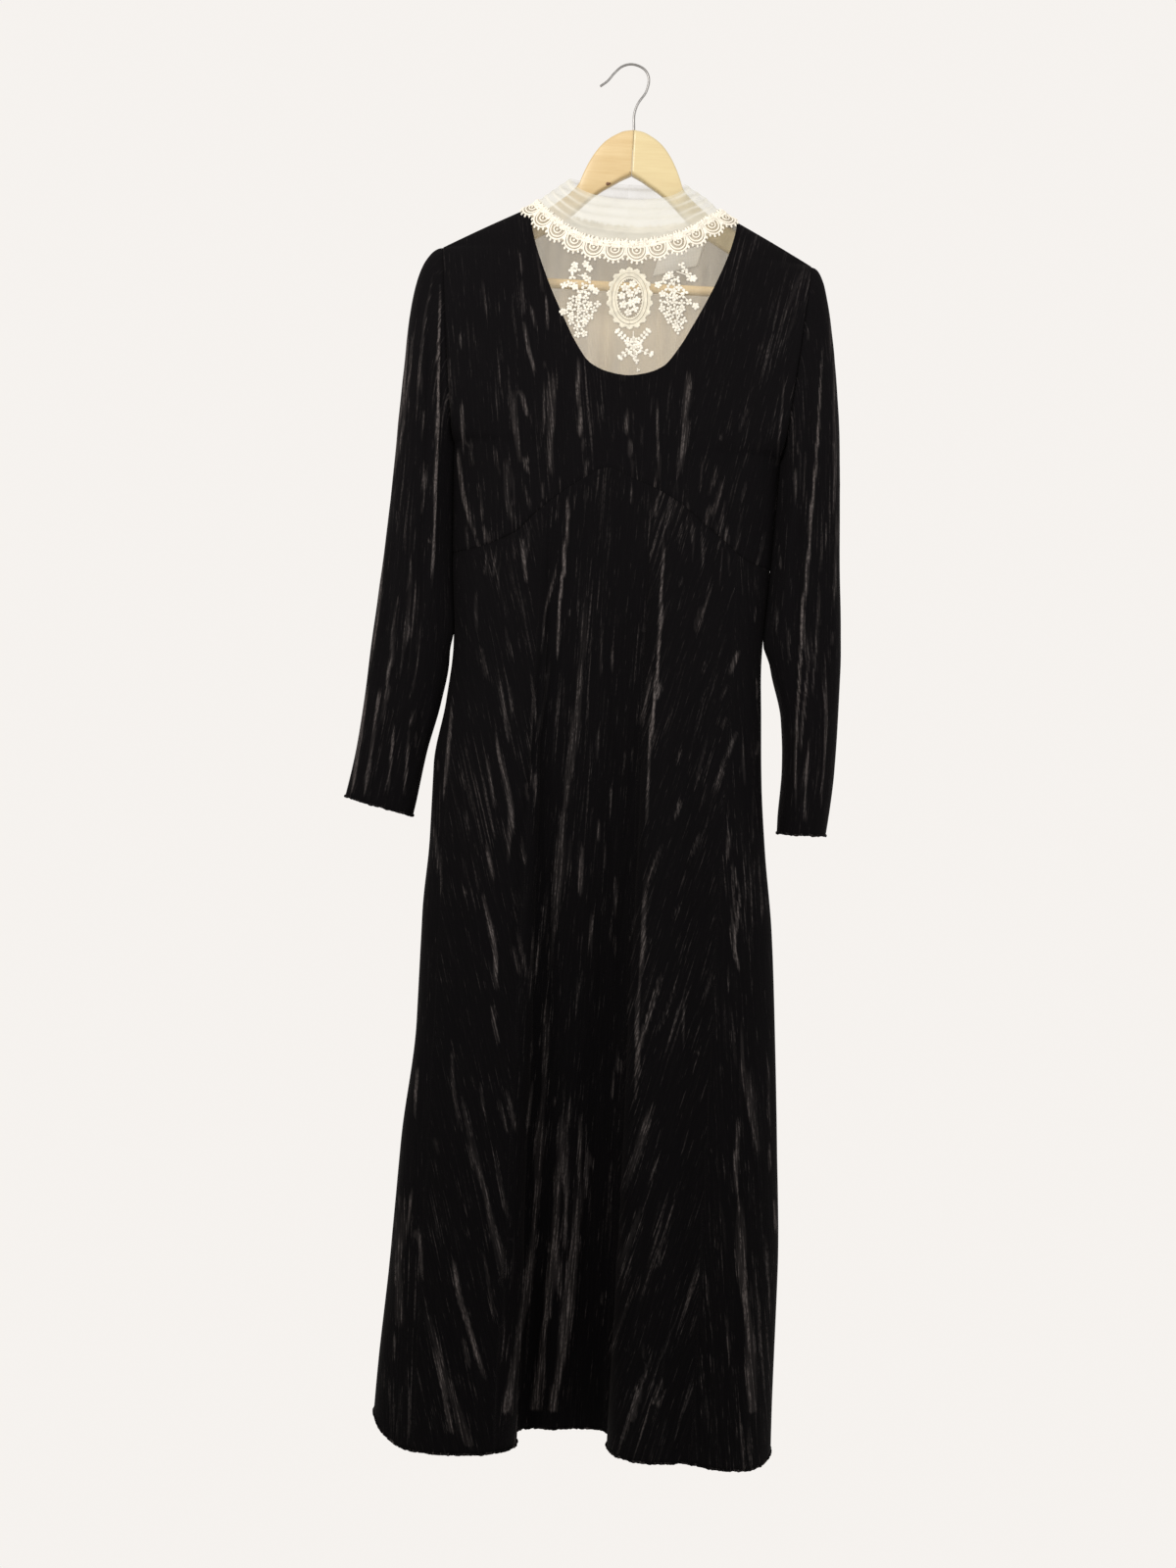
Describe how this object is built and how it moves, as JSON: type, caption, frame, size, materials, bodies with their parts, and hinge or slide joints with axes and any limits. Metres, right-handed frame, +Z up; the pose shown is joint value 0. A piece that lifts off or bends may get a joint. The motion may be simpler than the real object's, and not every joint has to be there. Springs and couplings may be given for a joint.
{
  "type": "velvet dress on a wooden hanger",
  "caption": "Long velvet dress with a high waist, long sleeves, a net yoke and a tucked stand collar edged with lace, hung on a wooden hanger.",
  "frame": {"origin": "the inside top of the hanger's hook, where it rests on a rail", "axes": "+Z up along the dress, +X to the right seen from the front, +Y from the front to the back"},
  "size_m": [0.5435, 0.1598, 1.5408],
  "materials": {
    "velvet": "crushed black velvet",
    "net": "fine ivory net",
    "chiffon": "thin ivory chiffon with pin tucks",
    "lace": "ivory corded lace and raised embroidery",
    "label": "plain woven tape",
    "wood": "light varnished wood",
    "steel": "bright wire"
  },
  "bodies": {
    "root": {"bodice_front": "velvet", "bodice_back_left": "velvet", "bodice_back_right": "velvet", "skirt_front": "velvet", "skirt_back_left": "velvet", "skirt_back_right": "velvet", "sleeve_left": "velvet", "sleeve_right": "velvet", "yoke_front": "net", "yoke_back_left": "net", "yoke_back_right": "net", "collar": "chiffon", "lace_trim": "lace", "medallion": "lace", "medallion_flower": "lace", "sprig": "lace", "spray_left": "lace", "spray_right": "lace", "neck_label": "label", "hanger_arm_left": "wood", "hanger_arm_right": "wood", "hanger_bar": "wood", "hanger_hook": "steel"}
  },
  "joints": []
}
